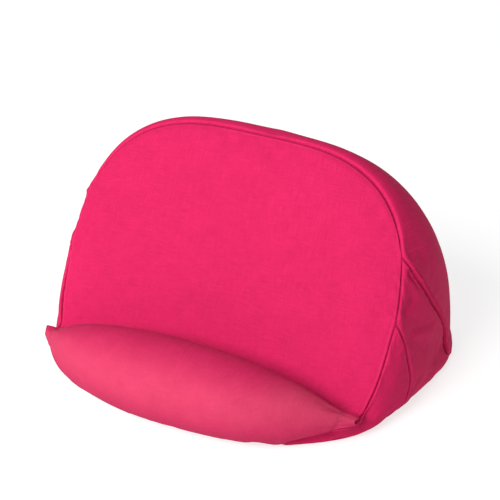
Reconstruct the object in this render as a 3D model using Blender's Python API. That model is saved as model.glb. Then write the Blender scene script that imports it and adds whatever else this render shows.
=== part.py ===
"""Cushion stand for a slate device: a bead-filled wedge with a crescent roll sewn along its front.

The device's lower edge drops into the groove between the roll and the
leaning backrest. Everything is one sewn cover over two bead fills.

Shape functions work in millimetres in a layout frame: X to the right,
Y to the back, Z up, floor at Z = 0 and Y = 0 at the front of the groove.
The finished objects are in metres with the origin under the middle of the
whole cushion's bounding box.
"""

import bpy
import numpy as np

for old in list(bpy.data.objects):
    bpy.data.objects.remove(old, do_unlink=True)

# ---------------------------------------------------------------- dimensions
HALF_WIDTH = 125.8        # half the body's widest, at the sides
WAIST = 4.3               # how much the sides draw in towards the front, above the floor
BODY_MID_Y = 50.0         # the body's widest station
BODY_BACK = 92.3          # from there to the back face
BODY_FRONT = 92.0         # from there to the tray under the roll
BELLY_Z = 33.7            # the height at which the walls start to lean in
BODY_RISE = 121.3         # dome height above that
REAR_SQUARENESS = 8.9     # superellipse power of the plan behind its middle, at the floor
TOP_SQUARENESS = 3.5      # the corners round off upwards to this
CORNER_FADE = 67.0        # over this height
FRONT_SQUARENESS = 1.94
DOME_SQUARENESS = 2.75

LEAN = np.radians(30.0)   # the backrest's lean from upright
GROOVE_BACK_Y, GROOVE_BACK_Z = 7.6, 13.6   # where backrest and groove floor meet
TRAY_TOP = 12.8           # groove floor height
TRAY_SLOPE = 0.37         # the tray thins towards the front

ROLL_HALF = 110.5         # half the roll's length
ROLL_RADIUS = 27.6        # at its middle
ROLL_BOW = 25.2           # how far its middle stands in front of its tips
ROLL_TIP_LIFT = 16.2      # how far its tips are lifted
ROLL_BLEND, TIP_BLEND = 5.0, 8.4   # how softly it meets the body, and how much softer at its tips

CLOTH = 1.2               # cover thickness, with its seam allowances
SEAM_GAP = 0.38           # each panel stops this short of a seam
FILL_INSET = 3.0          # from the outer surface to the fill
DIVIDER_Y = 1.5           # the cloth wall below the crease

# seam landmarks on the right-hand side
TIP = (109.0, 2.0, 16.0)
TOE = (56.0, -27.0, 1.6)
FOOT = (121.5, 32.0, 3.2)
HEEL = (125.8, 114.0, 2.6)
JOIN_HEIGHT = 64.1        # where the side seam meets the backrest's edge
SHOULDER_HEIGHT = 99.0    # where the back seam meets it

COVER_PINK = (0.80, 0.045, 0.135, 1.0)
LINING = (0.78, 0.76, 0.74, 1.0)
BEADS = (0.90, 0.90, 0.88, 1.0)


# ---------------------------------------------------------------- the form
def smooth(t):
    t = np.clip(t, 0.0, 1.0)
    return t * t * (3.0 - 2.0 * t)


def smax(a, b, k):
    h = np.maximum(k - np.abs(a - b), 0.0) / k
    return np.maximum(a, b) + h * h * k / 4.0


def smin(a, b, k):
    return -smax(-a, -b, k)


def hull(p):
    """Distance-like field of the body before the backrest and floor are cut."""
    x, y, z = p[..., 0], p[..., 1], p[..., 2]
    a = HALF_WIDTH - WAIST * smooth((z - 15.0) / 45.0) * (1.0 - smooth((y - 45.0) / 55.0))
    r = y - BODY_MID_Y
    corner = TOP_SQUARENESS + (REAR_SQUARENESS - TOP_SQUARENESS) * np.exp(-(np.maximum(z, 0.0) / CORNER_FADE) ** 2)
    power = np.where(r > 0.0, corner, FRONT_SQUARENESS)
    reach = np.where(r > 0.0, BODY_BACK, BODY_FRONT)
    plan = ((np.abs(x) / a) ** power + (np.abs(r) / reach) ** power) ** (1.0 / power)
    up = np.maximum(z - BELLY_Z, 0.0)
    q = DOME_SQUARENESS
    gauge = (plan ** q + (up / BODY_RISE) ** q) ** (1.0 / q)
    rho = np.sqrt(x * x + r * r + up * up)
    return rho * (1.0 - 1.0 / np.maximum(gauge, 1e-6))


def backrest(p):
    return -(p[..., 1] - GROOVE_BACK_Y) * np.cos(LEAN) + (p[..., 2] - GROOVE_BACK_Z) * np.sin(LEAN)


def roll_section(x):
    """Centre (y, z) and radius of the roll's round section at x."""
    a = np.clip(np.abs(x) / ROLL_HALF, 0.0, 1.0)
    r = ROLL_RADIUS * np.maximum(1.0 - a ** 2.63, 0.0) ** 0.952
    y = -0.5 - ROLL_BOW * (1.0 - a ** 2.554)
    z = ROLL_TIP_LIFT * a ** 2.976 + 0.97 * r
    return y, z, r


def roll(p):
    x = p[..., 0]
    y, z, r = roll_section(x)
    step = 0.5
    taper = (roll_section(np.abs(x) + step)[2] - r) / step
    return (np.hypot(p[..., 1] - y, p[..., 2] - z) - r) / np.sqrt(1.0 + np.minimum(taper * taper, 9.0))


def form(p, inset=0.0):
    """Negative inside the whole cushion, inset by so many millimetres."""
    x, y, z = p[..., 0], p[..., 1], p[..., 2]
    shell = hull(p) + inset
    rest = backrest(p) + inset
    corner = np.exp(-((np.abs(x) - HEEL[0]) ** 2 + (y - HEEL[1]) ** 2) / 24.0 ** 2)
    edge = (3.0 + 13.0 * smooth((y + 5.0) / 35.0)) * (1.0 - 0.75 * corner)
    wedge = smax(shell, rest, 16.0)
    tray = smax(shell, z - (TRAY_TOP + TRAY_SLOPE * np.minimum(y, 0.0)) + inset, 6.0)
    # under the roll's middle the tray stops behind it, and the roll's round belly shows
    brim = roll_section(x)[0] + 6.0 - y - 60.0 * smooth((np.abs(x) - 66.0) / 22.0)
    tray = smax(tray, brim + inset, 6.0)
    near_tip = smooth((np.abs(x) - 94.0) / 12.0)
    whole = smin(smin(wedge, tray, 5.0), roll(p) + inset, ROLL_BLEND + TIP_BLEND * near_tip)
    return smax(whole, inset - z, edge)


def gradient(field, p, step=0.05):
    g = np.empty_like(p)
    for k in range(3):
        d = np.zeros(3)
        d[k] = step
        g[..., k] = (field(p + d) - field(p - d)) / (2.0 * step)
    return g


def settle(p, field=form, rounds=18):
    """Moves points to the surface along its gradient."""
    p = np.array(p, float)
    for _ in range(rounds):
        g = gradient(field, p)
        p = p - 0.9 * (field(p) / np.maximum((g * g).sum(-1), 0.1))[..., None] * g
    return p


# ---------------------------------------------------------------- curves
def resample(points, count, at=None):
    points = np.asarray(points, float)
    s = np.r_[0.0, np.cumsum(np.linalg.norm(np.diff(points, axis=0), axis=1))]
    t = np.linspace(0.0, 1.0, count) if at is None else at
    return np.stack([np.interp(t * s[-1], s, points[:, k]) for k in range(3)], -1)


def spline(points, count):
    """A smooth curve through the points, evenly spaced."""
    p = np.array(points, float)
    p = np.vstack([2 * p[0] - p[1], p, 2 * p[-1] - p[-2]])
    t = np.linspace(0.0, 1.0, 30, endpoint=False)[:, None]
    out = []
    for a, b, c, d in zip(p, p[1:], p[2:], p[3:]):
        out.append(0.5 * (2 * b + (c - a) * t + (2 * a - 5 * b + 4 * c - d) * t ** 2 + (3 * b - a - 3 * c + d) * t ** 3))
    return resample(np.vstack(out + [p[-2][None]]), count)


def on_surface(curve):
    return settle(curve)


def backrest_edge():
    """The ridge between backrest and walls, from the right tip over the top to the left tip."""
    def at(u, v):      # u across, v up the slope from the groove
        return np.stack([u, GROOVE_BACK_Y + v * np.sin(LEAN), GROOVE_BACK_Z + v * np.cos(LEAN)], -1)
    turn = np.linspace(0.0, np.pi, 181)
    low, high = np.zeros(181), np.full(181, 260.0)
    for _ in range(40):
        mid = (low + high) / 2
        out = hull(at(mid * np.cos(turn), 10.0 + mid * np.sin(turn))) > 0
        high, low = np.where(out, mid, high), np.where(out, low, mid)
    ridge = settle(at(low * np.cos(turn), 10.0 + low * np.sin(turn)))
    right = spline([TIP, (109.6, 5.5, 15.8), (111.6, 11.0, 17.0)], 12)[:-1]
    left = right[::-1] * [-1, 1, 1]
    ridge = ridge[ridge[:, 2] > 22.0]
    return on_surface(resample(np.vstack([right, ridge, left]), 240))


EDGE = backrest_edge()
_half = EDGE[: len(EDGE) // 2]


def edge_at(height):
    rising = _half[_half[:, 2].argmin():]
    return np.array([np.interp(height, rising[:, 2], rising[:, k]) for k in range(3)])


JOIN, SHOULDER = edge_at(JOIN_HEIGHT), edge_at(SHOULDER_HEIGHT)


def edge_below(count):
    """The backrest's right edge from the tip up to the side seam."""
    first = _half[: np.argmax(_half[:, 2] > JOIN_HEIGHT)]
    return on_surface(resample(np.vstack([first, JOIN]), count))


def edge_above(count):
    """From the side seam up to the back seam."""
    inner = _half[(_half[:, 2] > JOIN_HEIGHT) & (_half[:, 2] < SHOULDER_HEIGHT)]
    return on_surface(resample(np.vstack([JOIN, inner, SHOULDER]), count))


def rim(count):
    """From the right shoulder over the top to the left shoulder."""
    inner = EDGE[(EDGE[:, 2] > SHOULDER_HEIGHT)]
    return on_surface(resample(np.vstack([SHOULDER, inner, SHOULDER * [-1, 1, 1]]), count))


def back_seam(count):
    return on_surface(spline([HEEL, (126, 106, 11), (125.6, 104, 26), (125.5, 92, 45), (124.2, 82, 58), (122.2, 75, 69), (119.8, 68.5, 80), (116.5, 64, 90), SHOULDER], count))


def side_seam(count):
    return on_surface(spline([FOOT, (125.3, 38.5, 9.5), (126, 44.5, 16), (125.2, 47, 25), (123.3, 45.4, 38.4), (121.3, 44.0, 50.0), (119.6, 42.4, 57.4), JOIN], count))


def roll_seam(count):
    """The roll's lower seam, tip to toe, on the right."""
    return on_surface(spline([_half[0], (102, -9.0, 14.0), (92, -17.5, 10.5), (81, -23.0, 7.0), (68.5, -26.0, 3.4), TOE], count))


def base_seam_side(count):
    """Heel forward to the foot of the side seam."""
    return on_surface(spline([HEEL, (123.8, 92, 2.8), (123.8, 68, 3.0), FOOT], count))


def base_seam_front(count):
    """Foot of the side seam round under the roll's side to its toe."""
    return on_surface(spline([FOOT, (116.5, 17, 3.0), (108.5, 3, 2.8), (96, -9.5, 2.4), (78, -20.5, 2.0), TOE], count))


def crease(count):
    """The seam in the groove floor between roll and backrest, right to left."""
    a = np.linspace(1.0, -1.0, 121)
    line = np.stack([TIP[0] * a, DIVIDER_Y + 0.5 * a * a, 13.2 + 2.8 * np.abs(a) ** 3], -1)
    line[0], line[-1] = _half[0], _half[0] * [-1, 1, 1]
    return on_surface(resample(line, count))


def base_front(count):
    """Under the roll, right toe to left toe."""
    x = np.linspace(TOE[0], -TOE[0], 61)
    return on_surface(resample(np.stack([x, TOE[1] - 1.5 * (1 - (x / TOE[0]) ** 2), np.full(61, 1.2)], -1), count))


def mirror(points):
    return points[..., ::-1, :] * [-1.0, 1.0, 1.0] if points.ndim == 2 else points * [-1.0, 1.0, 1.0]


# ---------------------------------------------------------------- panels
def coons(bottom, top, left, right):
    """A patch from four edges: bottom and top run left to right, left and right run bottom to top."""
    u = np.linspace(0, 1, len(bottom))[:, None, None]
    v = np.linspace(0, 1, len(left))[None, :, None]
    ruled = (1 - v) * bottom[:, None] + v * top[:, None] + (1 - u) * left[None] + u * right[None]
    corners = (1 - u) * (1 - v) * bottom[0] + u * (1 - v) * bottom[-1] + (1 - u) * v * top[0] + u * v * top[-1]
    return ruled - corners


def cast(hub, p):
    """Where rays from the hub through the points leave the form."""
    d = p - hub
    d = d / np.linalg.norm(d, axis=-1, keepdims=True)
    low, high = np.full(d.shape[:-1], 1.0), np.full(d.shape[:-1], 1.0)
    found = np.zeros(d.shape[:-1], bool)
    for s in np.linspace(4.0, 220.0, 145):
        out = (form(hub + d * s) > 0) & ~found
        low, high = np.where(found, low, high), np.where(found, high, s)
        found |= out
    for _ in range(26):
        mid = (low + high) / 2
        out = form(hub + d * mid[..., None]) > 0
        high, low = np.where(out, mid, high), np.where(out, low, mid)
    return hub + d * low[..., None]


def patch(bottom, top, left, right, hub, rounds=60, behind=False):
    """A patch spread evenly over the form between four edges, if asked behind the backrest's ridge."""
    hub = np.array(hub, float)

    def aim(edge):
        d = edge - hub
        return d / np.linalg.norm(d, axis=-1, keepdims=True)
    spread = coons(aim(bottom), aim(top), aim(left), aim(right))
    grid = cast(hub, hub + spread)
    grid[:, 0], grid[:, -1], grid[0], grid[-1] = bottom, top, left, right
    for _ in range(rounds):
        middle = (grid[2:, 1:-1] + grid[:-2, 1:-1] + grid[1:-1, 2:] + grid[1:-1, :-2]) / 4
        middle = 0.3 * grid[1:-1, 1:-1] + 0.7 * middle
        if behind:
            over = np.clip(backrest(middle) - hull(middle) + 1.0, 0.0, 6.0) * (middle[..., 2] > GROOVE_BACK_Z - 1.0)
            middle = middle + 0.5 * over[..., None] * np.array([0.0, np.cos(LEAN), -np.sin(LEAN)])
        grid[1:-1, 1:-1] = settle(middle, rounds=3)
    grid[1:-1, 1:-1] = settle(grid[1:-1, 1:-1])
    return grid


def pull_back(grid, amount):
    """Draws the patch's rim in from its seams."""
    out = grid.copy()
    for axis in (0, 1):
        g = np.moveaxis(out, axis, 0)
        source = np.moveaxis(grid, axis, 0)
        for end, near in ((0, 1), (-1, -2)):
            d = source[near] - source[end]
            size = np.linalg.norm(d, axis=-1, keepdims=True)
            g[end] += amount * d / np.maximum(size, 1e-6)
    return out


def material(name, colour, roughness):
    m = bpy.data.materials.new(name)
    m.use_nodes = True
    shader = m.node_tree.nodes["Principled BSDF"]
    shader.inputs["Base Color"].default_value = colour
    shader.inputs["Roughness"].default_value = roughness
    shader.inputs["Metallic"].default_value = 0.0
    m.diffuse_color = colour
    return m


# mesh density: pieces that share a seam share its points
COLUMNS = 25              # across the back and the backrest
SEAM_ROWS = 13            # along the side, back and roll seams
LOWER_EDGE, UPPER_EDGE = 12, 9    # along the backrest's edge, below and above the side seam
FRONT_COLUMNS = 13        # along the base seam between the toes
ROLL_ROWS = 17            # round the roll

SHIFT = np.array([0.0, 0.0, 0.0])     # set once the whole outline is known


def add_object(name, points, faces, finish):
    mesh = bpy.data.meshes.new(name)
    placed = (np.asarray(points) + SHIFT) / 1000.0
    centre = (placed.min(0) + placed.max(0)) / 2
    mesh.from_pydata((placed - centre).tolist(), [], [list(map(int, f)) for f in faces])
    mesh.validate()
    mesh.materials.append(finish)
    mesh.shade_smooth()
    mesh.set_sharp_from_angle(angle=np.radians(40))
    obj = bpy.data.objects.new(name, mesh)
    obj.location = centre.tolist()
    bpy.context.scene.collection.objects.link(obj)
    return obj


def sheet(name, grid, finish, gap=SEAM_GAP):
    """One cloth panel: a closed shell between the patch and its inward offset."""
    nu, nv = grid.shape[:2]
    n = gradient(form, grid)
    n /= np.linalg.norm(n, axis=-1, keepdims=True)
    outer = pull_back(grid, gap)
    inner = pull_back(grid - CLOTH * n, gap)
    points = np.vstack([outer.reshape(-1, 3), inner.reshape(-1, 3)])
    index = np.arange(nu * nv).reshape(nu, nv)
    below = index + nu * nv
    a, b, c, d = index[:-1, :-1], index[1:, :-1], index[1:, 1:], index[:-1, 1:]
    top = np.stack([a, b, c, d], -1).reshape(-1, 4)
    across = np.cross(grid[1:, :-1] - grid[:-1, :-1], grid[:-1, 1:] - grid[:-1, :-1])
    flip = (across * n[:-1, :-1]).sum() < 0
    faces = [q[::-1] if flip else q for q in top] + [(q + nu * nv) if flip else (q + nu * nv)[::-1] for q in top]
    loop = np.r_[index[:, 0], index[-1, 1:], index[-2::-1, -1], index[0, -2:0:-1]]
    for p, q in zip(loop, np.roll(loop, -1)):
        side = [p, p + nu * nv, q + nu * nv, q]
        faces.append(side[::-1] if flip else side)
    return add_object(name, points, faces, finish)


def right_gusset():
    n, m = UPPER_EDGE, SEAM_ROWS
    return patch(base_seam_side(n)[::-1], edge_above(n), side_seam(m), back_seam(m), (20, 75, 40))


def right_front():
    n, m = LOWER_EDGE, SEAM_ROWS
    return patch(base_seam_front(n)[::-1], edge_below(n), roll_seam(m)[::-1], side_seam(m), (40, 25, 12), behind=True)


def back():
    n, m = COLUMNS, SEAM_ROWS
    rear = on_surface(spline([HEEL, (112, 127, 3.0), (62, 133.5, 3.4), (0, 135, 3.6), (-62, 133.5, 3.4), (-112, 127, 3.0), np.array(HEEL) * [-1, 1, 1]], n))
    right = back_seam(m)
    return patch(rear, rim(n), right, right * [-1, 1, 1], (0, 70, 45)), rear


def rest_panel():
    right = np.vstack([edge_below(LOWER_EDGE), edge_above(UPPER_EDGE)[1:]])
    return patch(crease(COLUMNS), rim(COLUMNS), right, right * [-1, 1, 1], (0, 75, 30))


def roll_panel():
    """From the lower seam round the front and over the top into the crease."""
    m = ROLL_ROWS
    tip_end = roll_seam(SEAM_ROWS)
    tip_end[0] = 0.45 * tip_end[0] + 0.55 * tip_end[1]
    low = np.vstack([tip_end, base_front(FRONT_COLUMNS)[1:-1], mirror(tip_end)])
    n = len(low)
    cre = crease(121)
    grid = np.empty((n, m, 3))
    for i, a in enumerate(low):
        x = a[0]
        b = np.array([np.interp(-x, -cre[:, 0], cre[:, k]) for k in range(3)])
        yc, zc, r = (float(v) for v in roll_section(np.array(x)))
        start = np.arctan2(a[2] - zc, a[1] - yc)
        end = np.arctan2(b[2] - zc, b[1] - yc)
        if start > -0.5:
            start -= 2 * np.pi
        turn = start - (2 * np.pi - ((end - start) % (2 * np.pi))) * np.linspace(0, 1, m)
        rr = np.maximum(r, 1.2)
        arc = np.stack([np.full(m, x), yc + rr * np.cos(turn), zc + rr * np.sin(turn)], -1)
        t = np.linspace(0, 1, m)[:, None]
        arc += (1 - smooth(t * 5)) * (a - arc[0]) + (1 - smooth((1 - t) * 6)) * (b - arc[-1])
        grid[i] = arc
    grid[:, 1:-1] = settle(grid[:, 1:-1])
    return grid


def base(rear):
    """The flat underside, ring by ring in from the base seam."""
    right = np.vstack([base_seam_side(UPPER_EDGE), base_seam_front(LOWER_EDGE)[1:]])
    middle = base_front(FRONT_COLUMNS)
    ring = np.vstack([right, middle[1:-1], (right * [-1, 1, 1])[::-1], rear[::-1][1:-1]])
    return ring


def base_object(ring, finish):
    centre = np.array([0.0, 55.0, 0.0])
    count = len(ring)
    rings = [ring]
    for k in (0.965, 0.92, 0.62):
        inner = centre + (ring - centre) * k
        inner[:, 2] = np.minimum(ring[:, 2], 1.0)
        rings.append(settle(inner, body_floor))
    rings = np.array(rings)
    rings[2:, :, 2] = 0.0
    n = gradient(form, rings)
    n /= np.linalg.norm(n, axis=-1, keepdims=True)
    n[2:] = (0, 0, -1)
    inner = rings - CLOTH * n
    toward = centre - ring
    toward[:, 2] = 0
    toward /= np.linalg.norm(toward, axis=1, keepdims=True)
    rings[0] += 1.6 * SEAM_GAP * toward
    inner[0] += 1.6 * SEAM_GAP * toward
    points = np.vstack([rings.reshape(-1, 3), [centre], inner.reshape(-1, 3), [centre + (0, 0, CLOTH)]])
    layers, half = len(rings), len(rings) * count + 1
    faces = []
    for k in range(count):
        l = (k + 1) % count
        for j in range(layers - 1):
            q = [j * count + k, j * count + l, (j + 1) * count + l, (j + 1) * count + k]
            faces += [q, [v + half for v in reversed(q)]]
        j = (layers - 1) * count
        faces += [[j + k, j + l, half - 1], [half + j + l, half + j + k, 2 * half - 1]]
        faces.append([k, k + half, l + half, l])
    points, faces = np.array(points), faces
    a, b, c = (points[faces[0][i]] for i in range(3))
    if np.cross(b - a, c - a)[2] > 0:
        faces = [f[::-1] for f in faces]
    return add_object("base_panel", points, faces, finish)


def body_floor(p):
    return form(p)


def fill(name, hub, stretch, rows, columns, side, finish):
    """A bead fill: the form inset, on one side of the divider, sampled round an axis from a hub."""
    hub = np.array(hub)

    def field(p):
        wall = (side * (DIVIDER_Y - p[..., 1])) + CLOTH / 2 + 0.6
        groove = np.exp(-((p[..., 1] - GROOVE_BACK_Y - 1.0) ** 2 + (p[..., 2] - GROOVE_BACK_Z - 1.0) ** 2) / 64.0)
        return smax(form(p, FILL_INSET) + 1.8 * groove, wall, 1.0)
    theta = np.linspace(0, np.pi, rows)[1:-1]
    phi = np.linspace(0, 2 * np.pi, columns, endpoint=False)
    ring = np.stack([np.cos(phi), np.sin(phi)], -1)
    d = np.empty((len(theta), columns, 3))
    d[..., 0] = np.cos(theta)[:, None] * stretch
    d[..., 1:] = np.sin(theta)[:, None, None] * ring[None]
    d = np.vstack([d.reshape(-1, 3), [[1, 0, 0]], [[-1, 0, 0]]])
    d /= np.linalg.norm(d, axis=1, keepdims=True)
    steps = np.linspace(1.0, 190.0, 380)
    inside = np.array([field(hub + d * s) for s in steps]) < 0
    first = np.argmin(inside, axis=0)
    low, high = steps[np.maximum(first - 1, 0)], steps[first]
    for _ in range(30):
        mid = (low + high) / 2
        out = field(hub + d * mid[:, None]) > 0
        high, low = np.where(out, mid, high), np.where(out, low, mid)
    points = hub + d * low[:, None]
    n, last = len(theta), len(points)
    faces = []
    for i in range(n - 1):
        for j in range(columns):
            k = (j + 1) % columns
            faces.append([i * columns + j, (i + 1) * columns + j, (i + 1) * columns + k, i * columns + k])
    for j in range(columns):
        k = (j + 1) % columns
        faces.append([last - 2, j, k])
        faces.append([last - 1, (n - 1) * columns + k, (n - 1) * columns + j])
    volume = sum(np.dot(points[f[0]], np.cross(points[f[1]], points[f[2]])) for f in faces)
    if volume < 0:
        faces = [f[::-1] for f in faces]
    return add_object(name, points, faces, finish)


def divider(finish):
    """A straight cloth wall from the crease down to the base."""
    x = np.linspace(96.0, -96.0, 25)
    line = crease(121)
    z = np.interp(-x, -line[:, 0], line[:, 2]) - CLOTH - 1.3
    rows = []
    for y in (DIVIDER_Y - CLOTH / 2, DIVIDER_Y + CLOTH / 2):
        rows.append(np.stack([x, np.full(25, y), CLOTH + 0.7 + 0.8 * np.abs(x / 96.0) ** 6], -1))
        rows.append(np.stack([x, np.full(25, y), z], -1))
    points = np.vstack(rows)
    faces = []
    for i in range(24):
        a = np.array([0, 25, 75, 50]) + i
        b = a + 1
        for k in range(4):
            l = (k + 1) % 4
            faces.append([a[l], b[l], b[k], a[k]])
    faces += [[50, 75, 25, 0], [49, 99, 74, 24]]
    obj = add_object("divider_strip", points, faces, finish)
    return obj


# ---------------------------------------------------------------- build
cover = material("woven_cover", COVER_PINK, 0.62)
lining = material("divider_cloth", LINING, 0.8)
beads = material("bead_fill", BEADS, 0.7)

back_grid, rear_seam = back()
roll_grid = roll_panel()
gusset_grid, front_grid, rest_grid = right_gusset(), right_front(), rest_panel()
low_y = roll_grid[..., 1].min()
high_y = back_grid[..., 1].max()
SHIFT = np.array([0.0, -(low_y + high_y) / 2, 0.0])

sheet("roll_panel", roll_grid, cover)
sheet("backrest_panel", rest_grid, cover)
sheet("back_panel", back_grid, cover)
sheet("side_gusset_right", gusset_grid, cover)
sheet("side_gusset_left", gusset_grid * [-1, 1, 1], cover)
sheet("side_front_right", front_grid, cover, 1.8 * SEAM_GAP)
sheet("side_front_left", front_grid * [-1, 1, 1], cover, 1.8 * SEAM_GAP)
base_object(base(rear_seam), cover)
divider(lining)
fill("roll_bead_fill", (0.0, -24.0, 20.0), 4.0, 23, 24, -1.0, beads)
fill("body_bead_fill", (0.0, 62.0, 12.0), 1.2, 26, 30, 1.0, beads)
print("shift", SHIFT)
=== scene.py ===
"""The cushion stand's looks: a sewn, bead-filled cover in a fine pink weave, on a pale studio floor."""

import bpy
import numpy as np
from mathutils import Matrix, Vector


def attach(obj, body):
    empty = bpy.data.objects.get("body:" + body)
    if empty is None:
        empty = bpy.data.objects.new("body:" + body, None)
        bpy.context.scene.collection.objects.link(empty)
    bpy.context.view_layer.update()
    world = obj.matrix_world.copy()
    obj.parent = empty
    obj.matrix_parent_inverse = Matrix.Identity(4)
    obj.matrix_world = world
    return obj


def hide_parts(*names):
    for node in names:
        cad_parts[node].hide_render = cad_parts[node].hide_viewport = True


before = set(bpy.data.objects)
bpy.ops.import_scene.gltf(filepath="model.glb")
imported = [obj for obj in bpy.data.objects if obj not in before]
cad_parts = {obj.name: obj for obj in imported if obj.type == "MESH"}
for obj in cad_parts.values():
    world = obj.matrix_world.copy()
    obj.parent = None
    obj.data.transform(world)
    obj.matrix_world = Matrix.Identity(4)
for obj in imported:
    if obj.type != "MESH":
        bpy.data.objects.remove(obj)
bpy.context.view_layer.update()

# ---------------------------------------------------------------- the form, as the solids have it
# Layout frame in millimetres: X right, Y back, Z up, Y = 0 at the front of the groove.
HALF_WIDTH, WAIST = 125.8, 4.3
BODY_MID_Y, BODY_BACK, BODY_FRONT = 50.0, 92.3, 92.0
BELLY_Z, BODY_RISE = 33.7, 121.3
REAR_SQUARENESS, TOP_SQUARENESS, CORNER_FADE = 8.9, 3.5, 67.0
FRONT_SQUARENESS, DOME_SQUARENESS = 1.94, 2.75
LEAN = np.radians(30.0)
GROOVE_BACK_Y, GROOVE_BACK_Z = 7.6, 13.6
TRAY_TOP, TRAY_SLOPE = 12.8, 0.37
ROLL_HALF, ROLL_RADIUS, ROLL_BOW, ROLL_TIP_LIFT = 110.5, 27.6, 25.2, 16.2
ROLL_BLEND, TIP_BLEND = 5.0, 8.4
DIVIDER_Y = 1.5
TIP = (109.0, 2.0, 16.0)
TOE = (56.0, -27.0, 1.6)
FOOT = (121.5, 32.0, 3.2)
HEEL = (125.8, 114.0, 2.6)
JOIN_HEIGHT, SHOULDER_HEIGHT = 64.1, 99.0
SHIFT = np.array([0.0, -44.8312, 0.0])      # from the layout frame to the record's


def smooth(t):
    t = np.clip(t, 0.0, 1.0)
    return t * t * (3.0 - 2.0 * t)


def smax(a, b, k):
    h = np.maximum(k - np.abs(a - b), 0.0) / k
    return np.maximum(a, b) + h * h * k / 4.0


def smin(a, b, k):
    return -smax(-a, -b, k)


def hull(p):
    x, y, z = p[..., 0], p[..., 1], p[..., 2]
    a = HALF_WIDTH - WAIST * smooth((z - 15.0) / 45.0) * (1.0 - smooth((y - 45.0) / 55.0))
    r = y - BODY_MID_Y
    corner = TOP_SQUARENESS + (REAR_SQUARENESS - TOP_SQUARENESS) * np.exp(-(np.maximum(z, 0.0) / CORNER_FADE) ** 2)
    power = np.where(r > 0.0, corner, FRONT_SQUARENESS)
    reach = np.where(r > 0.0, BODY_BACK, BODY_FRONT)
    plan = ((np.abs(x) / a) ** power + (np.abs(r) / reach) ** power) ** (1.0 / power)
    up = np.maximum(z - BELLY_Z, 0.0)
    q = DOME_SQUARENESS
    gauge = (plan ** q + (up / BODY_RISE) ** q) ** (1.0 / q)
    rho = np.sqrt(x * x + r * r + up * up)
    return rho * (1.0 - 1.0 / np.maximum(gauge, 1e-6))


def backrest(p):
    return -(p[..., 1] - GROOVE_BACK_Y) * np.cos(LEAN) + (p[..., 2] - GROOVE_BACK_Z) * np.sin(LEAN)


def roll_section(x):
    a = np.clip(np.abs(x) / ROLL_HALF, 0.0, 1.0)
    r = ROLL_RADIUS * np.maximum(1.0 - a ** 2.63, 0.0) ** 0.952
    return -0.5 - ROLL_BOW * (1.0 - a ** 2.554), ROLL_TIP_LIFT * a ** 2.976 + 0.97 * r, r


def roll(p):
    x = p[..., 0]
    y, z, r = roll_section(x)
    taper = (roll_section(np.abs(x) + 0.5)[2] - r) / 0.5
    return (np.hypot(p[..., 1] - y, p[..., 2] - z) - r) / np.sqrt(1.0 + np.minimum(taper * taper, 9.0))


def form(p, inset=0.0):
    x, y, z = p[..., 0], p[..., 1], p[..., 2]
    shell, rest = hull(p) + inset, backrest(p) + inset
    corner = np.exp(-((np.abs(x) - HEEL[0]) ** 2 + (y - HEEL[1]) ** 2) / 24.0 ** 2)
    edge = (3.0 + 13.0 * smooth((y + 5.0) / 35.0)) * (1.0 - 0.75 * corner)
    wedge = smax(shell, rest, 16.0)
    tray = smax(shell, z - (TRAY_TOP + TRAY_SLOPE * np.minimum(y, 0.0)) + inset, 6.0)
    brim = roll_section(x)[0] + 6.0 - y - 60.0 * smooth((np.abs(x) - 66.0) / 22.0)
    tray = smax(tray, brim + inset, 6.0)
    near_tip = smooth((np.abs(x) - 94.0) / 12.0)
    whole = smin(smin(wedge, tray, 5.0), roll(p) + inset, ROLL_BLEND + TIP_BLEND * near_tip)
    return smax(whole, inset - z, edge)


def gradient(field, p, step=0.05):
    g = np.empty_like(p)
    for k in range(3):
        d = np.zeros(3)
        d[k] = step
        g[..., k] = (field(p + d) - field(p - d)) / (2.0 * step)
    return g


def settle(p, rounds=18):
    p = np.array(p, float)
    for _ in range(rounds):
        g = gradient(form, p)
        p = p - 0.9 * (form(p) / np.maximum((g * g).sum(-1), 0.1))[..., None] * g
    return p


def normals(p):
    g = gradient(form, p)
    return g / np.linalg.norm(g, axis=-1, keepdims=True)


# ---------------------------------------------------------------- seam lines
def resample(points, count):
    points = np.asarray(points, float)
    s = np.r_[0.0, np.cumsum(np.linalg.norm(np.diff(points, axis=0), axis=1))]
    t = np.linspace(0.0, s[-1], count)
    return np.stack([np.interp(t, s, points[:, k]) for k in range(3)], -1)


def spline(points, count):
    p = np.array(points, float)
    p = np.vstack([2 * p[0] - p[1], p, 2 * p[-1] - p[-2]])
    t = np.linspace(0.0, 1.0, 30, endpoint=False)[:, None]
    out = []
    for a, b, c, d in zip(p, p[1:], p[2:], p[3:]):
        out.append(0.5 * (2 * b + (c - a) * t + (2 * a - 5 * b + 4 * c - d) * t ** 2 + (3 * b - a - 3 * c + d) * t ** 3))
    return resample(np.vstack(out + [p[-2][None]]), count)


def backrest_edge():
    def at(u, v):
        return np.stack([u, GROOVE_BACK_Y + v * np.sin(LEAN), GROOVE_BACK_Z + v * np.cos(LEAN)], -1)
    turn = np.linspace(0.0, np.pi, 181)
    low, high = np.zeros(181), np.full(181, 260.0)
    for _ in range(40):
        mid = (low + high) / 2
        out = hull(at(mid * np.cos(turn), 10.0 + mid * np.sin(turn))) > 0
        high, low = np.where(out, mid, high), np.where(out, low, mid)
    ridge = settle(at(low * np.cos(turn), 10.0 + low * np.sin(turn)))
    right = spline([TIP, (109.6, 5.5, 15.8), (111.6, 11.0, 17.0)], 12)[:-1]
    ridge = ridge[ridge[:, 2] > 22.0]
    return settle(resample(np.vstack([right, ridge, right[::-1] * [-1, 1, 1]]), 240))


EDGE = backrest_edge()
HALF_EDGE = EDGE[: len(EDGE) // 2]


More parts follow.
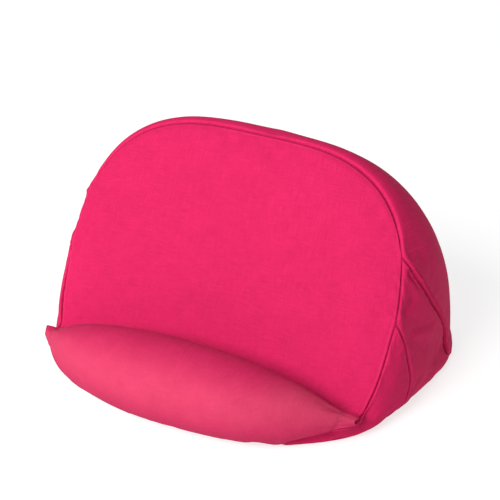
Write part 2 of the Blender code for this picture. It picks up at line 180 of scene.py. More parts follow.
def edge_at(height):
    rising = HALF_EDGE[HALF_EDGE[:, 2].argmin():]
    return np.array([np.interp(height, rising[:, 2], rising[:, k]) for k in range(3)])


JOIN, SHOULDER = edge_at(JOIN_HEIGHT), edge_at(SHOULDER_HEIGHT)


def edge_below(count):
    first = HALF_EDGE[: np.argmax(HALF_EDGE[:, 2] > JOIN_HEIGHT)]
    return settle(resample(np.vstack([first, JOIN]), count))


def edge_above(count):
    inner = HALF_EDGE[(HALF_EDGE[:, 2] > JOIN_HEIGHT) & (HALF_EDGE[:, 2] < SHOULDER_HEIGHT)]
    return settle(resample(np.vstack([JOIN, inner, SHOULDER]), count))


def rim(count):
    inner = EDGE[EDGE[:, 2] > SHOULDER_HEIGHT]
    return settle(resample(np.vstack([SHOULDER, inner, SHOULDER * [-1, 1, 1]]), count))


def back_seam(count):
    return settle(spline([HEEL, (126, 106, 11), (125.6, 104, 26), (125.5, 92, 45), (124.2, 82, 58), (122.2, 75, 69), (119.8, 68.5, 80), (116.5, 64, 90), SHOULDER], count))


def side_seam(count):
    return settle(spline([FOOT, (125.3, 38.5, 9.5), (126, 44.5, 16), (125.2, 47, 25), (123.3, 45.4, 38.4), (121.3, 44.0, 50.0), (119.6, 42.4, 57.4), JOIN], count))


def roll_seam(count):
    return settle(spline([HALF_EDGE[0], (102, -9.0, 14.0), (92, -17.5, 10.5), (81, -23.0, 7.0), (68.5, -26.0, 3.4), TOE], count))


def base_seam_side(count):
    return settle(spline([HEEL, (123.8, 92, 2.8), (123.8, 68, 3.0), FOOT], count))


def base_seam_front(count):
    return settle(spline([FOOT, (116.5, 17, 3.0), (108.5, 3, 2.8), (96, -9.5, 2.4), (78, -20.5, 2.0), TOE], count))


def base_rear(count):
    return settle(spline([HEEL, (112, 127, 3.0), (62, 133.5, 3.4), (0, 135, 3.6), (-62, 133.5, 3.4), (-112, 127, 3.0), np.array(HEEL) * [-1, 1, 1]], count))


def crease(count):
    a = np.linspace(1.0, -1.0, 121)
    line = np.stack([TIP[0] * a, DIVIDER_Y + 0.5 * a * a, 13.2 + 2.8 * np.abs(a) ** 3], -1)
    line[0], line[-1] = HALF_EDGE[0], HALF_EDGE[0] * [-1, 1, 1]
    return settle(resample(line, count))


def base_front(count):
    x = np.linspace(TOE[0], -TOE[0], 61)
    return settle(resample(np.stack([x, TOE[1] - 1.5 * (1 - (x / TOE[0]) ** 2), np.full(61, 1.2)], -1), count))


# ---------------------------------------------------------------- coarse patches between the seams
def coons(bottom, top, left, right):
    u = np.linspace(0, 1, len(bottom))[:, None, None]
    v = np.linspace(0, 1, len(left))[None, :, None]
    ruled = (1 - v) * bottom[:, None] + v * top[:, None] + (1 - u) * left[None] + u * right[None]
    return ruled - ((1 - u) * (1 - v) * bottom[0] + u * (1 - v) * bottom[-1] + (1 - u) * v * top[0] + u * v * top[-1])


def cast(hub, p):
    """Where rays from the hub through the points leave the form."""
    d = p - hub
    d = d / np.linalg.norm(d, axis=-1, keepdims=True)
    low, high = np.full(d.shape[:-1], 1.0), np.full(d.shape[:-1], 1.0)
    found = np.zeros(d.shape[:-1], bool)
    for s in np.linspace(4.0, 220.0, 145):
        out = (form(hub + d * s) > 0) & ~found
        low, high = np.where(found, low, high), np.where(found, high, s)
        found |= out
    for _ in range(26):
        mid = (low + high) / 2
        out = form(hub + d * mid[..., None]) > 0
        high, low = np.where(out, mid, high), np.where(out, low, mid)
    return hub + d * low[..., None]


def patch(bottom, top, left, right, hub, rounds=60, behind=False):
    """A patch spread evenly over the form between four edges, if asked behind the backrest's ridge."""
    hub = np.array(hub, float)

    def aim(edge):
        d = edge - hub
        return d / np.linalg.norm(d, axis=-1, keepdims=True)
    grid = cast(hub, hub + coons(aim(bottom), aim(top), aim(left), aim(right)))
    grid[:, 0], grid[:, -1], grid[0], grid[-1] = bottom, top, left, right
    for _ in range(rounds):
        middle = (grid[2:, 1:-1] + grid[:-2, 1:-1] + grid[1:-1, 2:] + grid[1:-1, :-2]) / 4
        middle = 0.3 * grid[1:-1, 1:-1] + 0.7 * middle
        if behind:
            over = np.clip(backrest(middle) - hull(middle) + 1.0, 0.0, 6.0) * (middle[..., 2] > GROOVE_BACK_Z - 1.0)
            middle = middle + 0.5 * over[..., None] * np.array([0.0, np.cos(LEAN), -np.sin(LEAN)])
        grid[1:-1, 1:-1] = settle(middle, rounds=3)
    grid[1:-1, 1:-1] = settle(grid[1:-1, 1:-1])
    return grid


COLUMNS, SEAM_ROWS, LOWER_EDGE, UPPER_EDGE, FRONT_COLUMNS, ROLL_ROWS = 25, 13, 12, 9, 13, 17


def coarse_gusset():
    n, m = UPPER_EDGE, SEAM_ROWS
    return patch(base_seam_side(n)[::-1], edge_above(n), side_seam(m), back_seam(m), (20, 75, 40))


def coarse_front():
    n, m = LOWER_EDGE, SEAM_ROWS
    return patch(base_seam_front(n)[::-1], edge_below(n), roll_seam(m)[::-1], side_seam(m), (40, 25, 12), behind=True)


def coarse_back():
    right = back_seam(SEAM_ROWS)
    return patch(base_rear(COLUMNS), rim(COLUMNS), right, right * [-1, 1, 1], (0, 70, 45))


def coarse_rest():
    right = np.vstack([edge_below(LOWER_EDGE), edge_above(UPPER_EDGE)[1:]])
    return patch(crease(COLUMNS), rim(COLUMNS), right, right * [-1, 1, 1], (0, 75, 30))


def coarse_roll():
    """From the lower seam round the front and over the top into the crease."""
    m = ROLL_ROWS
    seam = roll_seam(SEAM_ROWS)
    seam[0] = 0.8 * seam[0] + 0.2 * seam[1]
    low = np.vstack([seam, base_front(FRONT_COLUMNS)[1:-1], seam[::-1] * [-1, 1, 1]])
    cre = crease(121)
    grid = np.empty((len(low), m, 3))
    t = np.linspace(0, 1, m)[:, None]
    for i, a in enumerate(low):
        b = np.array([np.interp(-a[0], -cre[:, 0], cre[:, k]) for k in range(3)])
        yc, zc, r = (float(v) for v in roll_section(np.array(a[0])))
        start, end = np.arctan2(a[2] - zc, a[1] - yc), np.arctan2(b[2] - zc, b[1] - yc)
        turn = start - (2 * np.pi - ((end - start) % (2 * np.pi))) * t[:, 0]
        r = max(r, 1.2)
        arc = np.stack([np.full(m, a[0]), yc + r * np.cos(turn), zc + r * np.sin(turn)], -1)
        grid[i] = arc + (1 - smooth(t * 5)) * (a - arc[0]) + (1 - smooth((1 - t) * 6)) * (b - arc[-1])
    grid[:, 1:-1] = settle(grid[:, 1:-1])
    return grid


# ---------------------------------------------------------------- fine grids
def stations(count, length, fine=0.4, wide=1.6):
    """Positions along an axis in coarse steps: close together at both ends, where the seams are."""
    steps, step = [], fine
    while sum(steps) + step < 0.42 * length and step < wide:
        steps.append(step)
        step *= 1.13
    middle = max(int(round((length - 2 * sum(steps)) / wide)), 1)
    d = np.r_[steps, np.full(middle, (length - 2 * sum(steps)) / middle), steps[::-1]]
    s = np.r_[0.0, np.cumsum(d)]
    return s / s[-1] * (count - 1)


def chain(*parts):
    """Several axes one after another."""
    out, base = [parts[0]], parts[0][-1]
    for part in parts[1:]:
        out.append(base + part[1:])
        base += part[-1]
    return np.concatenate(out)


def weights(at, count):
    """Catmull-Rom weights that read a row of points at fractional positions."""
    i = np.clip(np.floor(at).astype(int), 0, count - 2)
    t = at - i
    w = np.zeros((len(at), count + 2))
    row = np.arange(len(at))
    for k, f in enumerate((-t + 2 * t ** 2 - t ** 3, 2 - 5 * t ** 2 + 3 * t ** 3, t + 4 * t ** 2 - 3 * t ** 3, t ** 3 - t ** 2)):
        w[row, i + k] += 0.5 * f
    inner = w[:, 1:-1].copy()
    inner[:, 0] += 2 * w[:, 0]
    inner[:, 1] -= w[:, 0]
    inner[:, -1] += 2 * w[:, -1]
    inner[:, -2] -= w[:, -1]
    return inner


ROWS_AT = stations(SEAM_ROWS, 118.0)
COLUMNS_AT = stations(COLUMNS, 258.0)
LOWER_AT = stations(LOWER_EDGE, 66.0)
UPPER_AT = stations(UPPER_EDGE, 46.0)
FRONT_AT = stations(FRONT_COLUMNS, 112.0, 1.5)
REST_AT = chain(LOWER_AT, UPPER_AT)
ROLL_AT = chain(ROWS_AT, FRONT_AT, ROWS_AT)
ROUND_AT = stations(ROLL_ROWS, 150.0)


def fine(coarse, at_u, at_v):
    grid = np.einsum("ia,jb,abk->ijk", weights(at_u, coarse.shape[0]), weights(at_v, coarse.shape[1]), coarse)
    return settle(grid, rounds=6)


def lengths(grid):
    """Arc lengths from the four edges, in mm: from u = 0, u = 1, v = 0 and v = 1."""
    du = np.linalg.norm(np.diff(grid, axis=0), axis=-1)
    dv = np.linalg.norm(np.diff(grid, axis=1), axis=-1)
    u = np.concatenate([np.zeros((1, grid.shape[1])), np.cumsum(du, 0)])
    v = np.concatenate([np.zeros((grid.shape[0], 1)), np.cumsum(dv, 1)], 1)
    return u, u[-1:] - u, v, v[:, -1:] - v


# ---------------------------------------------------------------- surface detail
NOISE = {seed: np.random.default_rng(seed).random((32, 32, 32)) * 2 - 1 for seed in (1, 2, 3, 4)}


def noise(p, scale, seed=1):
    """Smooth value noise with features of about scale millimetres."""
    q = p / scale + 57.3
    i = np.floor(q).astype(int)
    f = smooth(q - i)
    table, out = NOISE[seed], 0.0
    for dx in (0, 1):
        for dy in (0, 1):
            for dz in (0, 1):
                w = (f[..., 0] if dx else 1 - f[..., 0]) * (f[..., 1] if dy else 1 - f[..., 1]) * (f[..., 2] if dz else 1 - f[..., 2])
                out = out + w * table[(i[..., 0] + dx) % 32, (i[..., 1] + dy) % 32, (i[..., 2] + dz) % 32]
    return out


def near_line(p, line):
    """Distance to a polyline, the share along it of the nearest point, and the offset from that point."""
    line = np.asarray(line, float)
    s = np.r_[0.0, np.cumsum(np.linalg.norm(np.diff(line, axis=0), axis=1))]
    best = np.full(p.shape[:-1], 1e9)
    share = np.zeros(p.shape[:-1])
    off = np.zeros_like(p)
    for k in range(len(line) - 1):
        d = line[k + 1] - line[k]
        t = np.clip(((p - line[k]) @ d) / max(d @ d, 1e-9), 0, 1)
        gap = p - line[k] - t[..., None] * d
        dist = np.linalg.norm(gap, axis=-1)
        nearer = dist < best
        best = np.where(nearer, dist, best)
        share = np.where(nearer, (s[k] + t * (s[k + 1] - s[k])) / s[-1], share)
        off = np.where(nearer[..., None], gap, off)
    return best, share, off


def stroke(p, line, height, width, start=0.15, end=0.2, count=24):
    """A soft ridge, or with a negative height a valley, along a line on the surface."""
    d, share, _ = near_line(p, spline(line, count))
    return height * np.exp(-(d / width) ** 2) * smooth(share / start) * smooth((1 - share) / end)


def overlap(p, line, side, height, width, reach, start=0.2, end=0.2, count=24):
    """A fold whose one side, the side that the vector points to, stands proud of the other."""
    d, share, off = near_line(p, spline(line, count))
    on = smooth(((off @ np.asarray(side, float)) / width + 1.0) / 2.0)
    return height * on * np.exp(-(d / reach) ** 2) * smooth(share / start) * smooth((1 - share) / end)


def dimple(p, place, height, width):
    return height * np.exp(-((p - np.asarray(place, float)) ** 2).sum(-1) / width ** 2)


def seam_depth(p):
    """How deep a seam lies: least at the floor, where the cover is drawn tight, and where seams meet."""
    q = np.stack([np.abs(p[..., 0]), p[..., 1], p[..., 2]], -1)
    meet = 0.85 * np.exp(-((q - HALF_EDGE[0]) ** 2).sum(-1) / 7.0 ** 2)
    for place in (JOIN, SHOULDER):
        meet = meet + 0.7 * np.exp(-((q - place) ** 2).sum(-1) / 5.0 ** 2)
    return (0.3 + 0.85 * smooth((p[..., 2] - 4.0) / 9.0)) * (1.0 - meet)


def seam_profile(d, s, seed, puff, pucker, period):
    """Cloth beside a seam: it dives into the seam, puffs up next to it and gathers a little along it."""
    wobble = 2.2 * np.sin(s / 23.0 + seed) + 1.3 * np.sin(s / 9.7 + 2.3 * seed)
    gather = np.sin(2 * np.pi * (s + wobble) / period) * (0.55 + 0.45 * np.sin(s / 17.0 + 1.7 * seed))
    return puff * np.exp(-((d - 4.2) / 2.8) ** 2) + pucker * gather * np.exp(-d / 4.0) * smooth(d / 1.0)


# ---------------------------------------------------------------- the cover swells under its filling
def spline_matrix(knots, at):
    """Natural cubic spline through values at the knots, as a matrix that reads it elsewhere."""
    n, h = len(knots), np.diff(knots)
    a, b = np.eye(n), np.zeros((n, n))
    for i in range(1, n - 1):
        a[i, i - 1:i + 2] = h[i - 1], 2 * (h[i - 1] + h[i]), h[i]
        b[i, i - 1:i + 2] = 6 / h[i - 1], -6 / h[i - 1] - 6 / h[i], 6 / h[i]
    bend = np.linalg.solve(a, b)
    j = np.clip(np.searchsorted(knots, at, side="right") - 1, 0, n - 2)
    t, w = at - knots[j], h[j]
    out = np.zeros((len(at), n))
    row = np.arange(len(at))
    out[row, j] += 1 - t / w
    out[row, j + 1] += t / w
    out += (-t * w / 3 + t * t / 2 - t ** 3 / (6 * w))[:, None] * bend[j]
    out += (-t * w / 6 + t ** 3 / (6 * w))[:, None] * bend[j + 1]
    return out


def pick(at, spacing, keep=()):
    """Stations about so many coarse steps apart, with both ends and the kept ones."""
    chosen = [0]
    for i in range(1, len(at)):
        if at[i] - at[chosen[-1]] >= spacing or i in keep:
            if i in keep and at[i] - at[chosen[-1]] < 0.5 * spacing and len(chosen) > 1:
                chosen.pop()
            chosen.append(i)
    if chosen[-1] != len(at) - 1:
        if at[-1] - at[chosen[-1]] < 0.5 * spacing:
            chosen.pop()
        chosen.append(len(at) - 1)
    return np.array(chosen)


SLACK, PRESSURE = -0.004, 4.0


def swell(parts, caps):
    """Cloth simulation of all panels at once, their seams held. Returns how far each fine grid's points moved."""
    points, faces, held, spans = [], [], [], []
    for grid, at_u, at_v, keep_u, keep_v in parts:
        iu, iv = pick(at_u, 0.30, keep_u), pick(at_v, 0.30, keep_v)
        sub = grid[np.ix_(iu, iv)]
        n, m = len(iu), len(iv)
        start = sum(len(p) for p in points)
        index = np.arange(n * m).reshape(n, m) + start
        quads = np.stack([index[:-1, :-1], index[1:, :-1], index[1:, 1:], index[:-1, 1:]], -1).reshape(-1, 4)
        across = np.cross(sub[1:, :-1] - sub[:-1, :-1], sub[:-1, 1:] - sub[:-1, :-1])
        if (across * normals(sub)[:-1, :-1]).sum() < 0:
            quads = quads[:, ::-1]
        edge = np.zeros((n, m), bool)
        edge[0] = edge[-1] = edge[:, 0] = edge[:, -1] = True
        d = np.minimum.reduce(lengths(grid))[np.ix_(iu, iv)]
        sub = sub - (1.3 * smooth(d / 22.0))[..., None] * normals(sub)
        points.append(sub.reshape(-1, 3))
        faces.append(quads)
        held.append(index[edge])
        spans.append((start, n, m, iu, iv, at_u, at_v))
    rest = np.vstack(points)
    mesh = bpy.data.meshes.new("swelling")
    mesh.from_pydata((rest / 1000.0).tolist(), [], np.vstack(faces).tolist())
    cloth = bpy.data.objects.new("swelling", mesh)
    bpy.context.scene.collection.objects.link(cloth)
    group = cloth.vertex_groups.new(name="seams")
    group.add([int(i) for i in np.concatenate(held)], 1.0, "REPLACE")
    modifier = cloth.modifiers.new("Cloth", "CLOTH")
    s = modifier.settings
    s.quality = 6
    s.mass = 0.25
    s.vertex_group_mass = "seams"
    s.pin_stiffness = 1.0
    s.tension_stiffness = s.compression_stiffness = 20.0
    s.shear_stiffness = 8.0
    s.bending_stiffness = 0.6
    s.shrink_min = SLACK
    s.use_pressure = True
    s.uniform_pressure_force = PRESSURE
    s.effector_weights.gravity = 0.0
    modifier.collision_settings.use_collision = False
    modifier.collision_settings.use_self_collision = False
    scene = bpy.context.scene
    modifier.point_cache.frame_start, modifier.point_cache.frame_end = 1, 20
    for f in range(1, 21):
        scene.frame_set(f)
    graph = bpy.context.evaluated_depsgraph_get()
    result = cloth.evaluated_get(graph)
    moved = np.empty(len(rest) * 3, np.float32)
    result.data.vertices.foreach_get("co", moved)
    moved = moved.reshape(-1, 3).astype(float) * 1000.0
    scene.frame_set(1)
    bpy.data.objects.remove(cloth, do_unlink=True)
    bpy.data.meshes.remove(mesh)
    out = []
    for (start, n, m, iu, iv, at_u, at_v), (grid, *_), most in zip(spans, parts, caps):
        shift = moved[start:start + n * m].reshape(n, m, 3) - grid[np.ix_(iu, iv)]
        size = np.linalg.norm(shift, axis=-1, keepdims=True)
        shift = shift * most * np.tanh(size / most) / np.maximum(size, 1e-9)
        print("swelling", n, m, "mean", round(float(size.mean()), 2), "most", round(float(size.max()), 2))
        out.append(np.einsum("ia,jb,abk->ijk", spline_matrix(at_u[iu], at_u), spline_matrix(at_v[iv], at_v), shift))
    return out


# ---------------------------------------------------------------- meshes
def build_mesh(name, points, quads, tris, maps, finish):
    loops = np.r_[quads.ravel(), tris.ravel()].astype(np.int32)
    starts = np.r_[np.arange(len(quads)) * 4, len(quads) * 4 + np.arange(len(tris)) * 3].astype(np.int32)
    mesh = bpy.data.meshes.new(name)
    mesh.vertices.add(len(points))
    mesh.vertices.foreach_set("co", ((points + SHIFT) / 1000.0).astype(np.float32).ravel())
    mesh.loops.add(len(loops))
    mesh.loops.foreach_set("vertex_index", loops)
    mesh.polygons.add(len(starts))
    mesh.polygons.foreach_set("loop_start", starts)
    mesh.polygons.foreach_set("loop_total", np.r_[np.full(len(quads), 4), np.full(len(tris), 3)].astype(np.int32))
    mesh.update(calc_edges=True)
    mesh.validate()
    for title, flat in maps.items():
        layer = mesh.uv_layers.new(name=title)
        layer.data.foreach_set("uv", flat[loops].astype(np.float32).ravel())
    mesh.uv_layers.active = mesh.uv_layers[0]
    mesh.materials.append(finish)
    mesh.shade_smooth()
    obj = bpy.data.objects.new(name, mesh)
    bpy.context.scene.collection.objects.link(obj)
    return obj


def declare(obj, node):
    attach(obj, "root")
    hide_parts(node)
    return obj


def shell(name, outer, inner, finish, uv, seam, node, rub):
    """A closed cloth panel from two grids, with its weave coordinates in millimetres."""
    nu, nv = outer.shape[:2]
    points = np.vstack([outer.reshape(-1, 3), inner.reshape(-1, 3)])
    index = np.arange(nu * nv).reshape(nu, nv)
    a, b, c, d = index[:-1, :-1], index[1:, :-1], index[1:, 1:], index[:-1, 1:]
    top = np.stack([a, b, c, d], -1).reshape(-1, 4)
    loop = np.r_[index[:, 0], index[-1, 1:], index[-2::-1, -1], index[0, -2:0:-1]]
    after = np.roll(loop, -1)
    wall = np.stack([loop, loop + nu * nv, after + nu * nv, after], -1)
    across = np.cross(outer[1:, :-1] - outer[:-1, :-1], outer[:-1, 1:] - outer[:-1, :-1])
    if (across * (outer - inner)[:-1, :-1]).sum() < 0:
        top, wall = top[:, ::-1], wall[:, ::-1]
    quads = np.vstack([top, top[:, ::-1] + nu * nv, wall])
    maps = {
        "weave_mm": np.vstack([uv.reshape(-1, 2)] * 2) / 100.0,
        "seam_mm": np.vstack([seam.reshape(-1, 2)] * 2) / 100.0,
    }
    if rub is not None:
        maps["rub"] = np.repeat(np.concatenate([rub.ravel()] * 2)[:, None], 2, 1)
    return declare(build_mesh(name, points, quads, np.zeros((0, 3), int), maps, finish), node)


def weave_coordinates(grid):
    u, _, v, _ = lengths(grid)
    return np.stack([u - u[u.shape[0] // 2][None], v - v.mean()], -1)


def bulge(p):
    """Where the filling has settled: fuller at the roll's left end, and low at the back of the sides."""
    out = dimple(p, (-88.0, -29.0, 9.0), 2.6, 26.0) + dimple(p, (76.0, -28.0, 6.0), 0.6, 7.0) + dimple(p, (53.0, -35.0, 5.0), 0.7, 8.0)
    out += dimple(p, (84.0, -17.0, 2.2), -0.9, 14.0) + dimple(p, (101.0, -5.0, 2.4), -0.9, 13.0)
    low = np.exp(-(p[..., 2] / 11.0) ** 2) * np.exp(-((p[..., 1] - 83.0) / 23.0) ** 2)
    for side in (1, -1):
        out += dimple(p, np.array(TOE) * [side, 1, 1], -0.7, 7.0) + dimple(p, (120.5 * side, 35.0, 3.0), -1.5, 15.0)
        fuller = 1.0 if side < 0 else 0.4
        out += dimple(p, JOIN * [side, 1, 1], 0.7 * fuller, 6.5) + dimple(p, SHOULDER * [side, 1, 1], 0.8 * fuller, 6.5)
    return out + 3.3 * low * smooth((np.abs(p[..., 0]) - 96.0) / 20.0)


def common(p, near):
    """What every panel shares: the unevenness of a bead filling, and where it has settled."""
    return (0.40 * noise(p, 38.0, 1) + 0.14 * noise(p, 17.0, 2)) * smooth(near / 10.0) + bulge(p)


def ears(p):
    """The seam allowance draws the roll's tips out into small points, and weighs down the edge under them."""
    out = np.zeros_like(p)
    for side, way in ((1.0, (1.6, 0.2, 1.2)), (-1.0, (-4.5, 0.6, 2.4))):
        gap = p - HALF_EDGE[0] * [side, 1, 1]
        near = np.exp(-(gap ** 2).sum(-1) / 5.5 ** 2)
        out += near[..., None] * np.array(way)
        if side < 0:
            out[..., 0] -= 1.8 * np.exp(-((gap - (4.0, -7.0, -8.0)) ** 2).sum(-1) / 8.0 ** 2)
        # and flat, so that they end in an edge rather than a lump
        out[..., 2] -= 0.4 * near * gap[..., 2]
    # the cover's lower edge under the roll's ends hangs down to the floor
    x, y, z = np.abs(p[..., 0]), p[..., 1], p[..., 2]
    share = smooth((z - 0.8) / 3.6) * (1.0 - smooth((z - 5.0) / 7.0))
    out[..., 2] -= 2.3 * share * smooth((x - 57.0) / 12.0) * smooth((77.0 - x) / 4.0) * np.exp(-((y + 24.5) / 9.0) ** 2)
    return out


def panel(name, node, grid, moved, detail, finish, seed, puff=0.22, pucker=0.12, period=6.5, rub=None):
    """Adds the seams, the swelling and the detail to a fine grid and makes the closed piece."""
    n = normals(grid)
    sides = lengths(grid)
    along = (sides[2], sides[2], sides[0], sides[0])
    near = np.minimum.reduce(sides)
    run = np.zeros(near.shape)
    push = -seam_depth(grid) * np.exp(-(near / 0.85) ** 2)
    for k, (d, s) in enumerate(zip(sides, along)):
        others = np.minimum.reduce([sides[j] for j in range(4) if j != k])
        gathered = pucker * smooth((grid[..., 2] - 4.0) / 12.0)
        push += seam_profile(d, s, seed + k, puff, gathered, period) * smooth(others / 6.0)
        run = np.where(d <= near, s, run)
    push += detail(grid, near, sides) + common(grid, near)
    outer = grid + moved + ears(grid) + push[..., None] * n
    thick = 1.0 + 2.2 * np.exp(-(near / 1.2) ** 2)
    inner = outer - thick[..., None] * n
    outer[..., 2] = np.maximum(outer[..., 2], 0.05)
    inner[..., 2] = np.maximum(inner[..., 2], 0.35)
    return shell(name, outer, inner, finish, weave_coordinates(grid), np.stack([near, run], -1), node, rub)


# ---------------------------------------------------------------- materials
def sum_of(tree, *terms):
    out = terms[0]
    for term in terms[1:]:
        out = calc(tree, "ADD", out, term)
    return out


def calc(tree, operation, a, b=None, c=None):
    n = tree.nodes.new("ShaderNodeMath")
    n.operation = operation
    for i, v in enumerate((a, b, c)):
        if v is None:
            continue
        if isinstance(v, (int, float)):
            n.inputs[i].default_value = v
        else:
            tree.links.new(v, n.inputs[i])
    return n.outputs[0]


def noise_node(tree, vector, scale, detail=2.0):
    n = tree.nodes.new("ShaderNodeTexNoise")
    n.inputs["Scale"].default_value = scale
    n.inputs["Detail"].default_value = detail
    tree.links.new(vector, n.inputs["Vector"])
    return calc(tree, "SUBTRACT", n.outputs["Fac"], 0.5)


def two_maps(tree):
    """Weave coordinates and seam distances, in millimetres."""
    out = []
    for title in ("weave_mm", "seam_mm"):
        uv = tree.nodes.new("ShaderNodeUVMap")
        uv.uv_map = title
        part = tree.nodes.new("ShaderNodeSeparateXYZ")
        tree.links.new(uv.outputs[0], part.inputs[0])
        out += [calc(tree, "MULTIPLY", part.outputs[0], 100.0), calc(tree, "MULTIPLY", part.outputs[1], 100.0)]
    return out


def woven(name, colour, dark, light, thread, contrast, sheen, roughness, specular, tint, painted_light_colour=None):
    """A fine, tight weave with a faint diagonal, uneven threads, a soft nap and sewn seams, with painted shade in each
    seam and a painted highlight beside it.
    """
    m = bpy.data.materials.new(name)
    m.use_nodes = True
    t = m.node_tree
    shader = t.nodes["Principled BSDF"]
    u, v, d, s = two_maps(t)
    position = t.nodes.new("ShaderNodeTexCoord").outputs["Object"]
    a = calc(t, "SINE", calc(t, "MULTIPLY", u, np.pi / thread))
    b = calc(t, "SINE", calc(t, "MULTIPLY", v, np.pi / thread))
    over = calc(t, "MULTIPLY_ADD", calc(t, "MULTIPLY", a, b), 2.2, 0.5)
    over.node.use_clamp = True
    weave = sum_of(t, calc(t, "MULTIPLY", calc(t, "ABSOLUTE", a), over),
                   calc(t, "MULTIPLY", calc(t, "ABSOLUTE", b), calc(t, "SUBTRACT", 1.0, over)))
    weave = calc(t, "SUBTRACT", weave, 0.64)
    diagonal = calc(t, "SINE", calc(t, "MULTIPLY", sum_of(t, u, calc(t, "MULTIPLY", v, 0.62)), 2 * np.pi / (2.6 * thread)))

    def slub(along, across, seed):
        co = t.nodes.new("ShaderNodeCombineXYZ")
        t.links.new(calc(t, "MULTIPLY", along, 0.09), co.inputs[0])
        t.links.new(calc(t, "MULTIPLY", across, 0.8 / thread), co.inputs[1])
        co.inputs[2].default_value = seed
        return noise_node(t, co.outputs[0], 1.0)
    slubs = sum_of(t, slub(u, v, 1.0), slub(v, u, 7.0))
    cloud = noise_node(t, position, 22.0, 4.0)
    patchy = noise_node(t, position, 90.0, 3.0)
    nap = noise_node(t, position, 1100.0, 2.0)
    # painted shade: the tone darkens in the seam itself; the same falloff confines the stitches
    close = calc(t, "POWER", 2.718, calc(t, "MULTIPLY", calc(t, "POWER", calc(t, "DIVIDE", d, 0.9), 2.0), -1.0))
    # painted highlight: a thin paler line just beside each seam, on its ridge
    painted_seam_highlight = calc(t, "POWER", 2.718, calc(t, "MULTIPLY", calc(t, "POWER", calc(t, "DIVIDE", calc(t, "SUBTRACT", d, 1.9), 0.8), 2.0), -1.0))
    stitch = calc(t, "MULTIPLY", calc(t, "SINE", calc(t, "MULTIPLY", s, 2 * np.pi / 2.8)), close)
    tone = sum_of(
        t, calc(t, "MULTIPLY_ADD", cloud, 0.16 * contrast, 0.5), calc(t, "MULTIPLY", patchy, 0.14 * contrast),
        calc(t, "MULTIPLY", slubs, 0.42 * contrast), calc(t, "MULTIPLY", nap, 0.35 * contrast),
        calc(t, "MULTIPLY", weave, 0.50 * contrast), calc(t, "MULTIPLY", diagonal, 0.05 * contrast),
        calc(t, "MULTIPLY", painted_seam_highlight, 0.26), calc(t, "MULTIPLY", close, -0.30), calc(t, "MULTIPLY", stitch, 0.06))
    ramp = t.nodes.new("ShaderNodeValToRGB")
    ramp.color_ramp.elements[0].color = (*dark, 1)
    ramp.color_ramp.elements[1].color = (*light, 1)
    middle = ramp.color_ramp.elements.new(0.5)
    middle.color = (*colour, 1)
    t.links.new(tone, ramp.inputs[0])
    if painted_light_colour:
        # painted light: paler on the roll's front, which faces the key light; its top and underside keep the darker
        # base as painted shade
        mix = t.nodes.new("ShaderNodeMix")
        mix.data_type = "RGBA"
        mix.blend_type = "ADD"
        mix.inputs[7].default_value = (*painted_light_colour, 1)
        painted_light_map = t.nodes.new("ShaderNodeUVMap")
        painted_light_map.uv_map = "rub"
        share = t.nodes.new("ShaderNodeSeparateXYZ")
        t.links.new(painted_light_map.outputs[0], share.inputs[0])
        t.links.new(calc(t, "MULTIPLY", share.outputs[0], calc(t, "MULTIPLY_ADD", patchy, 0.5, 1.0)), mix.inputs[0])
        t.links.new(ramp.outputs[0], mix.inputs[6])
        t.links.new(mix.outputs[2], shader.inputs["Base Color"])
    else:
        t.links.new(ramp.outputs[0], shader.inputs["Base Color"])
    rough = sum_of(t, calc(t, "MULTIPLY_ADD", cloud, 0.12, roughness), calc(t, "MULTIPLY", weave, -0.10), calc(t, "MULTIPLY", patchy, 0.06))
    t.links.new(rough, shader.inputs["Roughness"])
    shader.inputs["Metallic"].default_value = 0.0
    shader.inputs["Specular IOR Level"].default_value = specular
    shader.inputs["Sheen Weight"].default_value = sheen
    shader.inputs["Sheen Roughness"].default_value = 0.5
    shader.inputs["Sheen Tint"].default_value = (*tint, 1.0)
    height = sum_of(t, calc(t, "MULTIPLY", weave, 0.055 * thread / 0.5), calc(t, "MULTIPLY", diagonal, 0.010),
                    calc(t, "MULTIPLY", slubs, 0.05), calc(t, "MULTIPLY", patchy, 0.05),
                    calc(t, "MULTIPLY", nap, 0.02), calc(t, "MULTIPLY", stitch, 0.10))
    bump = t.nodes.new("ShaderNodeBump")
    bump.inputs["Strength"].default_value = 0.6
    bump.inputs["Distance"].default_value = 0.001
    t.links.new(height, bump.inputs["Height"])
    t.links.new(bump.outputs[0], shader.inputs["Normal"])
    return m


def beads_material():
    """Polystyrene beads: each a little whiter or greyer, with painted shade in the gaps between them, finely pitted."""
    m = bpy.data.materials.new("foam_beads")
    m.use_nodes = True
    t = m.node_tree
    shader = t.nodes["Principled BSDF"]
    uv = t.nodes.new("ShaderNodeUVMap")
    uv.uv_map = "bead_tone"
    part = t.nodes.new("ShaderNodeSeparateXYZ")
    t.links.new(uv.outputs[0], part.inputs[0])
    position = t.nodes.new("ShaderNodeTexCoord").outputs["Object"]
    pits = noise_node(t, position, 1500.0)
    # painted shade: darker the deeper a point lies between beads
    tone = sum_of(t, calc(t, "MULTIPLY_ADD", part.outputs[0], 0.35, 0.60), calc(t, "MULTIPLY", part.outputs[1], -0.55), calc(t, "MULTIPLY", pits, 0.25))
    ramp = t.nodes.new("ShaderNodeValToRGB")
    ramp.color_ramp.elements[0].color = (0.58, 0.57, 0.54, 1)
    ramp.color_ramp.elements[1].color = (0.93, 0.93, 0.91, 1)
    t.links.new(tone, ramp.inputs[0])
    t.links.new(ramp.outputs[0], shader.inputs["Base Color"])
    t.links.new(calc(t, "MULTIPLY_ADD", pits, 0.2, 0.6), shader.inputs["Roughness"])
    bump = t.nodes.new("ShaderNodeBump")
    bump.inputs["Strength"].default_value = 0.35
    bump.inputs["Distance"].default_value = 0.001
    t.links.new(pits, bump.inputs["Height"])
    t.links.new(bump.outputs[0], shader.inputs["Normal"])
    return m


